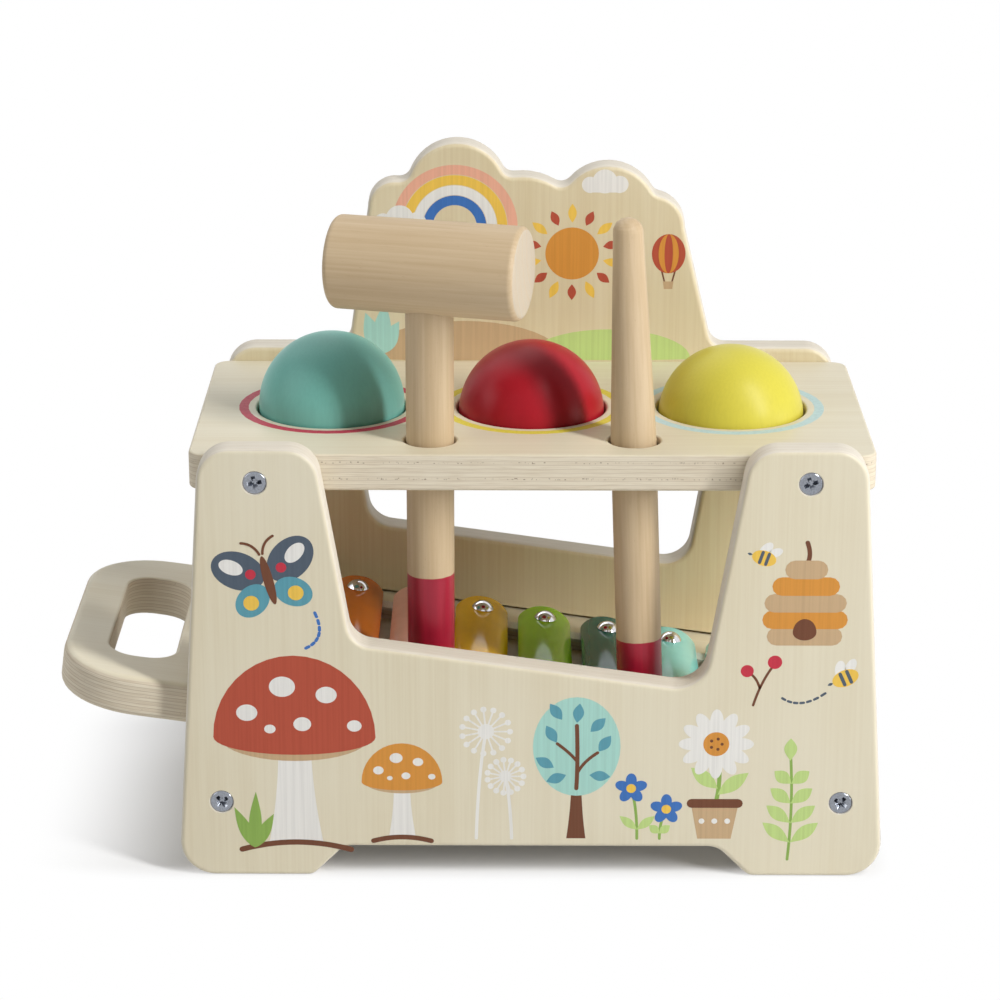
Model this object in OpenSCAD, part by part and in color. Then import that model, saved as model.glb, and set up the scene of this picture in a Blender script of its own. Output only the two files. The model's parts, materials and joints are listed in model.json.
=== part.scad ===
// Ball pounding bench with a slide-out xylophone.
// Millimetres, +Z up, floor at Z = 0, handle of the tray towards -X, front towards -Y.

/* [Panels] */
// Clear distance between the front and the back panel
span = 100.3; // [92:0.1:120]
// Thickness of the panels
panel_t = 10.2; // [8:0.1:14]
// Half width of a panel where its slanted edge meets the floor
foot_half = 110; // [104:0.5:125]
// Half width of a panel where its slanted edge meets its top
top_half = 100.4; // [95:0.1:104]
// Height of the panels above the top plate
rim_rise = 4.7; // [2:0.1:12]
// Radius of the lower outer corners
foot_r = 11; // [4:0.5:16]
// Radius of the top corners of the uprights
upright_r = 10; // [4:0.5:12]
// Height of the arch between the feet
arch_h = 9.9; // [6:0.1:16]
// Half width of the arch at the floor
arch_half = 68; // [55:0.5:80]
// Run of the slanted ends of the arch
arch_run = 10; // [6:0.5:16]
// Radius where a foot meets the arch
arch_foot_r = 4; // [1:0.5:6]
// Radius where a slanted end meets the arch
arch_top_r = 7; // [2:0.5:10]

/* [Front cut-out] */
// Height of the cut-out's floor at mid length
cut_z = 69.8; // [62:0.1:80]
// Half width of the cut-out at that height
cut_half = 53.7; // [45:0.1:62]
// Outward slope of its sides, in degrees
cut_flare = 9.5; // [2:0.05:12]
// Radius of its high corner
cut_high_r = 8; // [3:0.5:14]
// Radius of its low corner
cut_low_r = 10; // [3:0.5:14]

/* [Back panel] */
// Height of the window's floor above that of the front cut-out
window_lift = 0.4; // [0:0.1:6]
// Half width of the window at the height of its floor
window_half = 53.2; // [40:0.1:58]
// Distance of the window's middle to the right of mid length
window_shift = 1.2; // [-3:0.1:3]
// Strip of panel between the window and the top plate
window_bar = 12; // [6:0.5:25]
// Radius of the window's corners
window_r = 9; // [3:0.5:12]
// Half width of the crest at its foot
crest_half = 60.3; // [50:0.1:68]
// Height of the crest above the uprights
crest_h = 69; // [55:0.5:85]
// Radius where the crest meets the uprights
crest_foot_r = 6; // [2:0.5:10]
// Radius of the notches between the bumps of the crest
crest_notch_r = 4; // [1:0.5:6]

/* [Top plate] */
// Length of the plate
plate_l = 208.8; // [195:0.1:230]
// Thickness of the plate
plate_t = 11.5; // [10:0.1:16]
// Height of its upper face above the floor
plate_top = 135.3; // [128:0.1:150]
// Radius of its corners
plate_r = 5; // [1:0.5:12]
// Diameter of the holes for the mallet and the stick
peg_hole_d = 16; // [15.6:0.1:20]
// Distance of these holes from mid length
peg_x = 31.3; // [28:0.1:34]
// Distance of these holes from mid depth
peg_y = 34.6; // [33:0.1:38]

/* [Balls] */
// Diameter of a ball
ball_d = 46; // [44.5:0.1:48]
// Distance from ball to ball
ball_pitch = 63.2; // [60:0.1:66]
// Gap around a ball in its hole
ball_gap = 0.7; // [0.4:0.1:1.5]
// Height of the left ball's centre above the plate
left_ball_z = 0.8; // [-4:0.1:3]
// Height of the middle ball's centre above the plate
middle_ball_z = -1.9; // [-4:0.1:3]
// Height of the right ball's centre above the plate
right_ball_z = -3.3; // [-4:0.1:3]
// Thickness of a retaining ring
ring_d = 4; // [2.5:0.1:4.4]
// Depth of the rings below the plate's upper face
ring_depth = 7.6; // [6:0.1:8]

/* [Tray] */
// Slope of the tray, in degrees
tray_tilt = 8; // [4:0.5:10]
// Height of its upper face at mid length
tray_z = 46.3; // [42:0.1:52]
// Thickness of the tray board
tray_t = 13; // [9:0.1:14]
// Length of the board from mid length to the end of the handle
tray_reach = 148.4; // [140:0.1:170]
// Depth of the board's edges in the grooves
tray_lip = 3.35; // [2:0.05:5]
// Radius of the handle's outer corners
handle_r = 25.5; // [8:0.5:32]
// Width of the bar that the hand grips
handle_bar = 13.9; // [10:0.1:20]
// Length of the handle hole along the tray
handle_hole_l = 21.1; // [18:0.1:26]
// Width of the handle hole across the tray
handle_hole_w = 68.5; // [50:0.5:80]
// Radius of the handle hole's corners
handle_hole_r = 9; // [3:0.5:9]
// Radius of the corners at the board's inner end
tray_end_r = 3; // [1:0.5:6]

/* [Cross rails] */
// Distance of the cross rails from mid length
rail_x = 96; // [92:0.5:97]
// Width of a cross rail
rail_w = 14; // [10:0.5:15]
// Height of a cross rail
rail_h = 18; // [14:0.5:22]
// Height of the right cross rail above the end of the tray
rail_proud = 0.3; // [0:0.1:1]

/* [Keys] */
// Distance from key to key
key_pitch = 21; // [19.5:0.1:22]
// Middle of the row of keys, from mid length
key_mid = -6.5; // [-10:0.5:-4]
// Width of a key
key_w = 17.5; // [14:0.1:19]
// Thickness of a key's metal
key_t = 1.6; // [1:0.1:2.5]
// Rise of a key's arch
key_arch = 2.5; // [1.5:0.1:4]
// Radius of a key's corners
key_r = 7.5; // [2:0.1:7.5]
// Length of a key beyond its pins
key_overhang = 10.5; // [7:0.1:14]
// Distance of the key rails from mid depth, at mid length
key_rail_y = 24; // [20:0.1:26]
// Angle by which a key rail runs towards the middle, in degrees
key_rail_angle = 5.1; // [2:0.1:6]
// Width of a key rail
key_rail_w = 6; // [4:0.1:9]
// Height of a key rail
key_rail_h = 3; // [2:0.1:5]
// Length of a key rail beyond the outer keys
key_rail_end = 3; // [0:0.5:5]
// Thickness of the felt on a key rail
felt_t = 1; // [0.5:0.1:2]

/* [Key pins] */
// Diameter of a pin's domed head
pin_head_d = 7.2; // [5:0.1:9]
// Height of the domed head
pin_head_h = 2.3; // [1:0.1:3]
// Diameter of a pin's shank
pin_d = 2.8; // [2:0.1:3.5]
// Gap around a pin in its key
pin_play = 0.5; // [0.2:0.1:1]
// Depth of a pin in the tray board
pin_depth = 6; // [3:0.5:7]

/* [Mallet] */
// Length of the mallet's head
head_l = 59.5; // [45:0.5:70]
// Diameter of the head
head_d = 28.6; // [24:0.1:36]
// Rounding of the head's rims
head_edge = 2; // [0.5:0.1:4]
// Turn of the head about the upright axis, in degrees
head_yaw = 15; // [0:1:30]
// Diameter of the mallet's handle
grip_d = 14.7; // [12:0.1:15.2]
// Distance from the handle's lower end to the axis of the head
mallet_reach = 126.6; // [115:0.1:150]
// Depth of the handle in the head
socket_depth = 20; // [10:0.5:22]

/* [Stick] */
// Length of the stick
stick_l = 161.5; // [140:0.5:180]
// Diameter of its straight lower part
stick_d = 14.1; // [11:0.1:14.6]
// Diameter at its tip
stick_tip_d = 9.2; // [7:0.1:11]
// Height of the tip's dome
stick_dome = 4.2; // [2:0.1:5]
// Lean to the left, in degrees
stick_lean_x = 2.2; // [0:0.1:3]
// Lean to the back, in degrees
stick_lean_y = 2.8; // [2.6:0.1:3.2]
// Rounding of the lower ends of the stick and the mallet's handle
grip_edge = 1.5; // [0.5:0.1:3]

/* [Screws] */
// Diameter of a screw's head
screw_head_d = 7.6; // [6:0.1:9]
// Height of the countersunk head
screw_head_h = 2.8; // [2:0.1:4]
// Diameter of a screw's shank
screw_d = 3.5; // [2.5:0.1:4.5]
// Length of a screw
screw_l = 28; // [20:0.5:35]
// Depth of the heads below the panel's face
screw_inset = 0.2; // [0:0.1:1]
// Length of the arms of the cross recess
recess_l = 4.4; // [3:0.1:5]
// Width of the arms of the cross recess
recess_w = 0.9; // [0.5:0.1:1.2]
// Depth of the cross recess
recess_depth = 1.5; // [0.8:0.1:1.8]
// Distance of the upper screws from the outer ends of the uprights
screw_from_end = 17.7; // [12:0.1:22]

/* [Fits] */
// Gap between pieces that move past each other
slide_gap = 0.3; // [0.2:0.05:0.6]
// Gap around pieces that are fixed in each other
seat_gap = 0.05; // [0.02:0.01:0.1]
// Height of the grooves above the tray board
groove_room = 1; // [0.4:0.1:2]
// Length by which cuts run past a face
overrun = 1; // [0.5:0.5:2]

/* [Hidden] */

$fn = 72;
// Largest turn of one step of a rounded corner, in degrees
corner_step = 7.5;
// Number of steps of a rounded edge of a turned piece
edge_steps = 6;

birch = "#E6DBB8";
beech = "#D9BE94";
zinc = "#B9BDC2";
chrome = "#DDDDE2";
rubber = "#2B2B2B";
felt_grey = "#DAD7CF";
key_colors = ["#C8283C", "#E07C1E", "#EDB5A4", "#DDA81E", "#7FAE1C", "#1F6B57", "#3FAFA5", "#A5D3C1"];

key_count = len(key_colors);
panel_h = plate_top + rim_rise;
plate_mid = plate_top - plate_t/2;
ball_r = ball_d/2;
ball_hole_r = ball_r + ball_gap;
ring_groove_r = ball_r + ring_d + slide_gap;

// Tray: its own frame has its origin on the board's upper face at mid length
tray_w = span + 2*tray_lip;
tray_stop = rail_x - rail_w/2;
tray_end = (tray_stop - slide_gap)/cos(tray_tilt);
rail_z = tray_z - tray_end*sin(tray_tilt) + rail_proud - rail_h/2;

// Keys
key_outer_r = (key_w*key_w/4 + key_arch*key_arch)/(2*key_arch);
key_inner_r = key_outer_r - key_t;
key_drop = sqrt(key_inner_r*key_inner_r - key_w*key_w/4);
key_base = key_rail_h + felt_t + seat_gap;
key_top = key_base + key_outer_r - key_drop;
pin_top = key_top + seat_gap + pin_head_h;
key_rail_l = (key_count - 1)*key_pitch + key_w + 2*key_rail_end;

// Mallet: its lower end stands just above the pins of the keys
head_r = head_d/2;
grip_r = grip_d/2;
mallet_foot = tray_z + (pin_top + slide_gap)/cos(tray_tilt) + (peg_x + grip_r)*tan(tray_tilt);
grip_l = mallet_reach - head_r + socket_depth;

// Stick: it leans in its hole, and its lower end stands just above the tray board
stick_r = stick_d/2;
stick_dir = [
    -cos(stick_lean_y)*sin(stick_lean_x),
    sin(stick_lean_y),
    cos(stick_lean_y)*cos(stick_lean_x)
];
tray_normal = [sin(tray_tilt), 0, cos(tray_tilt)];
stick_slope = tray_normal*stick_dir;
stick_below = (tray_normal*[peg_x, -peg_y, plate_mid - tray_z] - slide_gap
    - stick_r*sqrt(1 - stick_slope*stick_slope))/stick_slope;

// The origin is under the middle of the whole object, handle included
panel_flare = atan((foot_half - top_half)/panel_h);
reach_left = tray_reach*cos(tray_tilt) + tray_t*sin(tray_tilt);
reach_right = foot_half - foot_r*(tan(panel_flare) + 1/cos(panel_flare) - 1);
bench_x = (reach_left - reach_right)/2;

// Bumps of the crest: place along half its width, height and radius as shares of its height
crest_shares = [
    [-0.738, 0.685, 0.129],
    [-0.401, 0.759, 0.241],
    [-0.050, 0.527, 0.313],
    [0.418, 0.650, 0.241],
    [0.655, 0.590, 0.159]
];
crest_bumps = [for (s = crest_shares) [s.x*crest_half, panel_h + s.y*crest_h, s.z*crest_h]];
crest_last = len(crest_bumps) - 1;

function unit(v) = v/norm(v);

// Points of the arc of radius r about c that turns from angle a by turn degrees in a number of steps
function arc(c, r, a, turn, steps) =
    [for (i = [0 : steps]) c + r*[cos(a + turn*i/steps), sin(a + turn*i/steps)]];

// Points of the arc that rounds corner q between its neighbours p and s, each written [x, y, radius],
// with a radius that leaves half of either side to the next corner
function corner(p, q, s) =
    let (
        at = [q.x, q.y],
        back = unit([p.x, p.y] - at),
        ahead = unit([s.x, s.y] - at),
        half = acos(back*ahead)/2,
        room = min(norm([p.x, p.y] - at), norm([s.x, s.y] - at))/2,
        r = min(q.z, room*tan(half)),
        centre = at + unit(back + ahead)*r/sin(half),
        start = at + back*r/tan(half) - centre,
        from = atan2(start.y, start.x),
        turn = (cross(back, ahead) < 0 ? 1 : -1)*(180 - 2*half),
        steps = ceil(abs(turn)/corner_step)
    )
    arc(centre, r, from, turn, steps);

// Outline through the corners, each rounded by its radius, a zero radius left sharp
function rounded(corners) =
    let (n = len(corners))
    [for (i = [0 : n - 1])
        each corners[i].z == 0
            ? [[corners[i].x, corners[i].y]]
            : corner(corners[(i + n - 1)%n], corners[i], corners[(i + 1)%n])];

// Corners of a rectangle about the origin
function box_corners(l, w, r) = [[-l/2, -w/2, r], [l/2, -w/2, r], [l/2, w/2, r], [-l/2, w/2, r]];

// Half width at height z of a cut-out with flared sides whose half width is a at height floor
function flared(a, floor, z) = a + (z - floor)*tan(cut_flare);

// Corner where a sloping floor meets a flared side, side = -1 for the high one and 1 for the low one
function floor_corner(a, floor, side, r) =
    let (x = side*a/(1 + side*tan(tray_tilt)*tan(cut_flare)))
    [x, floor - x*tan(tray_tilt), r];

// The quarter round of radius e about c, from angle a
function edge_arc(c, e, a) = arc(c, e, a, 90, edge_steps);

// Direction from a to b, in degrees
function heading(a, b) = atan2(b.y - a.y, b.x - a.x);

// Centre of the notch to the right of bump i of the crest: the circle that touches it and the next one
function notch(i) =
    let (
        a = crest_bumps[i],
        b = crest_bumps[i + 1],
        along = unit([b.x - a.x, b.y - a.y]),
        d = norm([b.x - a.x, b.y - a.y]),
        ra = a.z + crest_notch_r,
        rb = b.z + crest_notch_r,
        run = (d*d + ra*ra - rb*rb)/(2*d)
    )
    [a.x, a.y] + along*run + [-along.y, along.x]*sqrt(ra*ra - run*run);

// Round top of bump i, from right to left, between its two notches or the sides of the crest
function bump_arc(i) =
    let (
        b = crest_bumps[i],
        from = i == crest_last ? 0 : heading(b, notch(i)),
        to = i == 0 ? 180 : heading(b, notch(i - 1))
    )
    arc([b.x, b.y], b.z, from, to - from, ceil((to - from)/corner_step));

// Hollow of the notch to the left of bump i, from right to left
function notch_arc(i) =
    let (
        c = notch(i - 1),
        from = heading(c, crest_bumps[i]),
        turn = heading(c, crest_bumps[i - 1]) - from
    )
    arc(c, crest_notch_r, from, turn, ceil(-turn/corner_step));

// Outline of the crest from its right side to its left
function crest_outline() =
    [for (i = [crest_last : -1 : 0]) each concat(bump_arc(i), i == 0 ? [] : notch_arc(i))];

// Places of the keys and of their pins in the frame of the tray
function key_x(i) = key_mid + (i - (key_count - 1)/2)*key_pitch;
function pin_y(i) = key_rail_y - key_x(i)*tan(key_rail_angle);

// Radius of a retaining ring that touches a ball whose centre is z above the plate
function ring_radius(z) =
    let (reach = ball_r + ring_d/2 + slide_gap, drop = z + ring_depth)
    sqrt(reach*reach - drop*drop);

// Frames: the bench stands off the origin, the tray slopes down to the right
module on_bench() translate([bench_x, 0, 0]) children();
module in_tray() on_bench() translate([0, 0, tray_z]) rotate([0, tray_tilt, 0]) children();

// Turned bar of radius r and length l on +Z, its lower and upper rims rounded by e and f
module turned_bar(r, l, e, f) {
    rotate_extrude()
        polygon(concat(
            [[0, 0]],
            e == 0 ? [[r, 0]] : edge_arc([r - e, e], e, -90),
            f == 0 ? [[r, l]] : edge_arc([r - f, l - f], f, 0),
            [[0, l]]
        ));
}

// Corners of the feet and the arch, left to right
feet = [
    [-foot_half, 0, foot_r],
    [-arch_half, 0, arch_foot_r],
    [arch_run - arch_half, arch_h, arch_top_r],
    [arch_half - arch_run, arch_h, arch_top_r],
    [arch_half, 0, arch_foot_r],
    [foot_half, 0, foot_r]
];

module front_outline() {
    cut_top = flared(cut_half, cut_z, panel_h);
    polygon(rounded(concat(feet, [
        [top_half, panel_h, upright_r],
        [cut_top, panel_h, upright_r],
        floor_corner(cut_half, cut_z, 1, cut_low_r),
        floor_corner(cut_half, cut_z, -1, cut_high_r),
        [-cut_top, panel_h, upright_r],
        [-top_half, panel_h, upright_r]
    ])));
}

module back_outline() {
    polygon(rounded(concat(
        feet,
        [[top_half, panel_h, upright_r], [crest_half, panel_h, crest_foot_r]],
        [for (p = crest_outline()) [p.x, p.y, 0]],
        [[-crest_half, panel_h, crest_foot_r], [-top_half, panel_h, upright_r]]
    )));
}

module window_outline() {
    floor = cut_z + window_lift;
    top = plate_top - plate_t - window_bar;
    half = flared(window_half, floor, top);
    translate([window_shift, 0])
        polygon(rounded([
            floor_corner(window_half, floor, -1, window_r),
            floor_corner(window_half, floor, 1, window_r),
            [half, top, window_r],
            [-half, top, window_r]
        ]));
}

// Lays a panel outline upright, with its front face at y
module upright(y, t) translate([0, y + t, 0]) rotate([90, 0, 0]) linear_extrude(t) children();

// Groove for the tray board in the inner face of a panel, side = -1 in front and 1 behind
module groove(side) {
    run = foot_half + tray_end + tray_t + overrun;
    h = tray_t + slide_gap + groove_room;
    w = tray_lip + slide_gap + overrun;
    translate([0, 0, tray_z])
        rotate([0, tray_tilt, 0])
            translate([tray_end + overrun - run, side*(span/2 - overrun) - (side < 0 ? w : 0),
                       -tray_t - slide_gap])
                cube([run, w, h]);
}

// Screw with its face at the origin, pointing to -Z
module screw() {
    difference() {
        union() {
            translate([0, 0, -screw_head_h]) cylinder(h = screw_head_h, d1 = screw_d, d2 = screw_head_d);
            translate([0, 0, -screw_l]) cylinder(h = screw_l - screw_head_h, d = screw_d);
        }
        for (turn = [0, 90])
            rotate(turn)
                translate([-recess_l/2, -recess_w/2, -recess_depth])
                    cube([recess_l, recess_w, recess_depth + overrun]);
    }
}

// Hole for a screw, its countersink and the pocket above its head
module screw_hole() {
    bore = screw_d + 2*seat_gap;
    mouth = screw_head_d + 2*seat_gap;
    cylinder(h = screw_inset + overrun, d = mouth);
    translate([0, 0, -screw_head_h]) cylinder(h = screw_head_h, d1 = bore, d2 = mouth);
    translate([0, 0, -screw_l - seat_gap]) cylinder(h = screw_l, d = bore);
}

// Puts its children at the four screws of a panel, side = -1 in front and 1 behind
module at_screws(side) {
    upper = top_half + (panel_h - plate_mid)*tan(panel_flare) - screw_from_end;
    for (x = [-1, 1])
        for (spot = [[upper, plate_mid], [rail_x, rail_z]])
            translate([x*spot.x, side*(span/2 + panel_t - screw_inset), spot.y])
                rotate([-side*90, 0, 0])
                    children();
}

module front_panel() color(birch) on_bench() {
    difference() {
        upright(-span/2 - panel_t, panel_t) front_outline();
        groove(-1);
        at_screws(-1) screw_hole();
    }
}

module back_panel() color(birch) on_bench() {
    difference() {
        upright(span/2, panel_t) back_outline();
        upright(span/2 - overrun, panel_t + 2*overrun) window_outline();
        groove(1);
        at_screws(1) screw_hole();
    }
}

module top_plate() color(birch) on_bench() {
    difference() {
        translate([0, 0, plate_top - plate_t])
            linear_extrude(plate_t)
                polygon(rounded(box_corners(plate_l, span, plate_r)));
        for (x = [-ball_pitch, 0, ball_pitch])
            translate([x, 0, plate_top]) {
                translate([0, 0, -plate_t - overrun]) cylinder(h = plate_t + 2*overrun, r = ball_hole_r);
                translate([0, 0, -ring_depth - ring_d/2 - slide_gap])
                    cylinder(h = ring_d + 2*slide_gap, r = ring_groove_r);
            }
        for (x = [-peg_x, peg_x])
            translate([x, -peg_y, plate_top - plate_t - overrun])
                cylinder(h = plate_t + 2*overrun, d = peg_hole_d);
        at_screws(-1) screw_hole();
        at_screws(1) screw_hole();
    }
}

// Batten between the panels, centred at x
module cross_rail(x) color(birch) on_bench() {
    difference() {
        translate([x - rail_w/2, -span/2, rail_z - rail_h/2]) cube([rail_w, span, rail_h]);
        at_screws(-1) screw_hole();
        at_screws(1) screw_hole();
    }
}
module left_cross_rail() cross_rail(-rail_x);
module right_cross_rail() cross_rail(rail_x);

module front_screws() color(zinc) on_bench() at_screws(-1) screw();
module back_screws() color(zinc) on_bench() at_screws(1) screw();

// Rubber ring in the groove of the ball hole at x, below a ball whose centre is z above the plate
module retaining_ring(x, z) color(rubber) on_bench() {
    translate([x, 0, plate_top - ring_depth])
        rotate_extrude()
            translate([ring_radius(z), 0])
                circle(d = ring_d);
}
module left_ring() retaining_ring(-ball_pitch, left_ball_z);
module middle_ring() retaining_ring(0, middle_ball_z);
module right_ring() retaining_ring(ball_pitch, right_ball_z);

module ball(x, z) on_bench() translate([x, 0, plate_top + z]) sphere(d = ball_d);
module ball_teal() color("#4FA79F") ball(-ball_pitch, left_ball_z);
module ball_red() color("#C0182E") ball(0, middle_ball_z);
module ball_yellow() color("#F2DC1E") ball(ball_pitch, right_ball_z);

module tray_board() color(birch) in_tray() {
    hole_mid = handle_bar + handle_hole_l/2 - tray_reach;
    difference() {
        translate([0, 0, -tray_t])
            linear_extrude(tray_t)
                polygon(rounded([
                    [-tray_reach, -tray_w/2, handle_r],
                    [tray_end, -tray_w/2, tray_end_r],
                    [tray_end, tray_w/2, tray_end_r],
                    [-tray_reach, tray_w/2, handle_r]
                ]));
        translate([hole_mid, 0, -tray_t - overrun])
            linear_extrude(tray_t + 2*overrun)
                polygon(rounded(box_corners(handle_hole_l, handle_hole_w, handle_hole_r)));
        for (side = [-1, 1])
            pin_holes(side, pin_d + 2*seat_gap);
    }
}

// Puts its children at the pins of one rail, side = -1 in front and 1 behind
module at_pins(side)
    for (i = [0 : key_count - 1])
        translate([key_x(i), side*pin_y(i), 0])
            children();

// Holes for the pins of one rail, from the depth of the pins to above the keys
module pin_holes(side, d)
    at_pins(side) translate([0, 0, -pin_depth - seat_gap]) cylinder(h = pin_depth + pin_top + overrun, d = d);

// Strip of thickness t at height z along the pins of one rail
module key_strip(side, z, t) in_tray() {
    difference() {
        translate([key_mid, side*(key_rail_y - key_mid*tan(key_rail_angle)), z])
            rotate(-side*key_rail_angle)
                translate([-key_rail_l/2, -key_rail_w/2, 0])
                    cube([key_rail_l, key_rail_w, t]);
        pin_holes(side, pin_d + 2*seat_gap);
    }
}
module rear_key_rail() color(felt_grey) key_strip(1, 0, key_rail_h);
module front_key_rail() color(felt_grey) key_strip(-1, 0, key_rail_h);
module rear_felt() color(felt_grey) key_strip(1, key_rail_h, felt_t);
module front_felt() color(felt_grey) key_strip(-1, key_rail_h, felt_t);

// Arched metal key number i, counted from the longest
module key(i) color(key_colors[i]) in_tray() {
    l = 2*(pin_y(i) + key_overhang);
    difference() {
        intersection() {
            translate([key_x(i), 0, key_base - key_t])
                linear_extrude(key_top - key_base + 2*key_t)
                    polygon(rounded(box_corners(key_w, l, key_r)));
            translate([key_x(i), 0, key_base - key_drop])
                rotate([90, 0, 0])
                    difference() {
                        cylinder(h = l + 2*overrun, r = key_outer_r, center = true);
                        cylinder(h = l + 4*overrun, r = key_inner_r, center = true);
                    }
        }
        for (side = [-1, 1])
            translate([key_x(i), side*pin_y(i), 0])
                cylinder(h = pin_top, d = pin_d + 2*pin_play);
    }
}
module key_1() key(0);
module key_2() key(1);
module key_3() key(2);
module key_4() key(3);
module key_5() key(4);
module key_6() key(5);
module key_7() key(6);
module key_8() key(7);

// Pin with a domed head, its shank from the tray board to the head's flat underside
module key_pin() {
    dome_r = (pin_head_d*pin_head_d/4 + pin_head_h*pin_head_h)/(2*pin_head_h);
    under = pin_top - pin_head_h;
    translate([0, 0, -pin_depth]) cylinder(h = pin_depth + under + pin_head_h/2, d = pin_d);
    intersection() {
        translate([0, 0, pin_top - dome_r]) sphere(r = dome_r);
        translate([-pin_head_d, -pin_head_d, under]) cube([2*pin_head_d, 2*pin_head_d, 2*pin_head_h]);
    }
}
module rear_key_pins() color(chrome) in_tray() at_pins(1) key_pin();
module front_key_pins() color(chrome) in_tray() at_pins(-1) key_pin();

// Frame of the mallet, on the axis of its handle at the height of its lower end
module in_mallet() on_bench() translate([-peg_x, -peg_y, mallet_foot]) children();

module mallet_head() color(beech) in_mallet() {
    difference() {
        translate([0, 0, mallet_reach])
            rotate([0, 90, -head_yaw])
                translate([0, 0, -head_l/2])
                    turned_bar(head_r, head_l, head_edge, head_edge);
        cylinder(h = grip_l + seat_gap, r = grip_r + seat_gap);
    }
}

module mallet_handle() color(beech) in_mallet() turned_bar(grip_r, grip_l, grip_edge, 0);

module beater_stick() color(beech) on_bench() {
    tip_r = stick_tip_d/2;
    shoulder = stick_l - stick_dome;
    translate([peg_x, -peg_y, plate_mid])
        rotate([-stick_lean_y, -stick_lean_x, 0])
            translate([0, 0, -stick_below])
                rotate_extrude()
                    polygon(concat(
                        [[0, 0]],
                        edge_arc([stick_r - grip_edge, grip_edge], grip_edge, -90),
                        [[stick_r, stick_below + plate_t/2]],
                        [for (i = [0 : edge_steps])
                            [tip_r*cos(90*i/edge_steps), shoulder + stick_dome*sin(90*i/edge_steps)]]
                    ));
}

front_panel();
back_panel();
top_plate();
left_cross_rail();
right_cross_rail();
front_screws();
back_screws();
left_ring();
middle_ring();
right_ring();
ball_teal();
ball_red();
ball_yellow();
tray_board();
rear_key_rail();
front_key_rail();
rear_felt();
front_felt();
key_1();
key_2();
key_3();
key_4();
key_5();
key_6();
key_7();
key_8();
rear_key_pins();
front_key_pins();
mallet_head();
mallet_handle();
beater_stick();
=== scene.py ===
"""Looks of a ball pounding bench with a slide-out xylophone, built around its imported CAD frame."""
import json
import math

import bmesh
import bpy
from mathutils import Matrix, Vector


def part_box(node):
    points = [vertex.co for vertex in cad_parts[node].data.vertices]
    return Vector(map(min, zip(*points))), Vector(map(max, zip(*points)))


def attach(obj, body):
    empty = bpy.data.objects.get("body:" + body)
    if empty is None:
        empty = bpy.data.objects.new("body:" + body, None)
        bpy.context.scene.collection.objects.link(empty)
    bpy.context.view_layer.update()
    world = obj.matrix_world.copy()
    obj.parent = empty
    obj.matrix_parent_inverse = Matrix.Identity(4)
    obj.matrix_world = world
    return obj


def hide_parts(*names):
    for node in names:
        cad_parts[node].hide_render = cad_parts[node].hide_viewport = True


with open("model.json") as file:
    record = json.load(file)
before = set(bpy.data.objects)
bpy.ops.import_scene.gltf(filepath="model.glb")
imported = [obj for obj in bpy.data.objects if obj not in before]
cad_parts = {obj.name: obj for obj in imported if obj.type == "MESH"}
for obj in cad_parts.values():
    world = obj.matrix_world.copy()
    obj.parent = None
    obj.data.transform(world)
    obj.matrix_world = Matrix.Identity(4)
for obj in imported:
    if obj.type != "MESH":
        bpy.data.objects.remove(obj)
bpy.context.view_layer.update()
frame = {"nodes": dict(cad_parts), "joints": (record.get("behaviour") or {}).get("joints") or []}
nodes = frame["nodes"]
scene = bpy.context.scene
MM = 0.001
X, Y, Z = Vector((1, 0, 0)), Vector((0, 1, 0)), Vector((0, 0, 1))


def joint_axis(name):
    """Direction in which a joint moves its body."""
    return Vector(next(j["axis"] for j in frame["joints"] if j["name"] == name)).normalized()


# Places taken from the frame, in metres
plate_low, plate_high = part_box("top_plate")
front_low, front_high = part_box("front_panel")
back_low, back_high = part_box("back_panel")
bench_x = (plate_low.x + plate_high.x)/2
panel_t = front_high.y - front_low.y
plate_t = plate_high.z - plate_low.z
tray_along = -joint_axis("tray_slide")
tray_normal = Vector((-tray_along.z, 0, tray_along.x))
tray_depths = [v.co.dot(tray_normal) for v in nodes["tray_board"].data.vertices]
tray_low, tray_t = min(tray_depths), max(tray_depths) - min(tray_depths)
stick_axis = joint_axis("stick_lift")
stick_foot = min(v.co.dot(stick_axis) for v in nodes["beater_stick"].data.vertices)
mallet_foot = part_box("mallet_handle")[0].z
rail_low, rail_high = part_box("left_cross_rail")

# Camera, fitted to the photograph's edges: place from the middle of the bench, angles and focal length
PHOTO_SIDE = 1000
CAMERA_PLACE = Vector((-7.59, -954.08, 432.56))*MM
CAMERA_PITCH = math.radians(19.02)
CAMERA_YAW = math.radians(-0.14)
CAMERA_ROLL = math.radians(0.09)
CAMERA_FOCAL_PIXELS = 3151.3
SENSOR = 36

# Rounding of edges
PANEL_EDGE = 1.8*MM
PLATE_EDGE = 0.9*MM
HANDLE_EDGE = 2.6*MM
HANDLE_HOLE_EDGE = 1.1*MM
EDGE_SEGMENTS = 5

# Printed ink: step between shapes that lie on each other, depth below the face, room on the front panel
INK_STEP = 0.007*MM
INK_ROOT = 0.03*MM
INK_ROOM = 0.16*MM

# Height of the paint on the two handles, turn of the mallet's head, height of the rails under the keys
MALLET_DIP = 29.2*MM
STICK_DIP = 28.6*MM
HEAD_TURN = math.radians(15)
KEY_RAIL_H = 3*MM

# Radii of the printed rings round the ball holes, in millimetres as in all prints
RING_INNER, RING_OUTER = 26.4, 29.4


def srgb(r, g, b):
    """Linear colour of an sRGB triple from 0 to 255."""
    def channel(c):
        c = c/255
        return c/12.92 if c <= 0.04045 else ((c + 0.055)/1.055)**2.4
    return (channel(r), channel(g), channel(b), 1)


def shaded(color, share):
    """A colour darkened to a share of its light."""
    return tuple(c*share for c in color[:3]) + (1,)


# Materials: in their functions s is the shader, and u, v and w are distances along three directions

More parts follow.
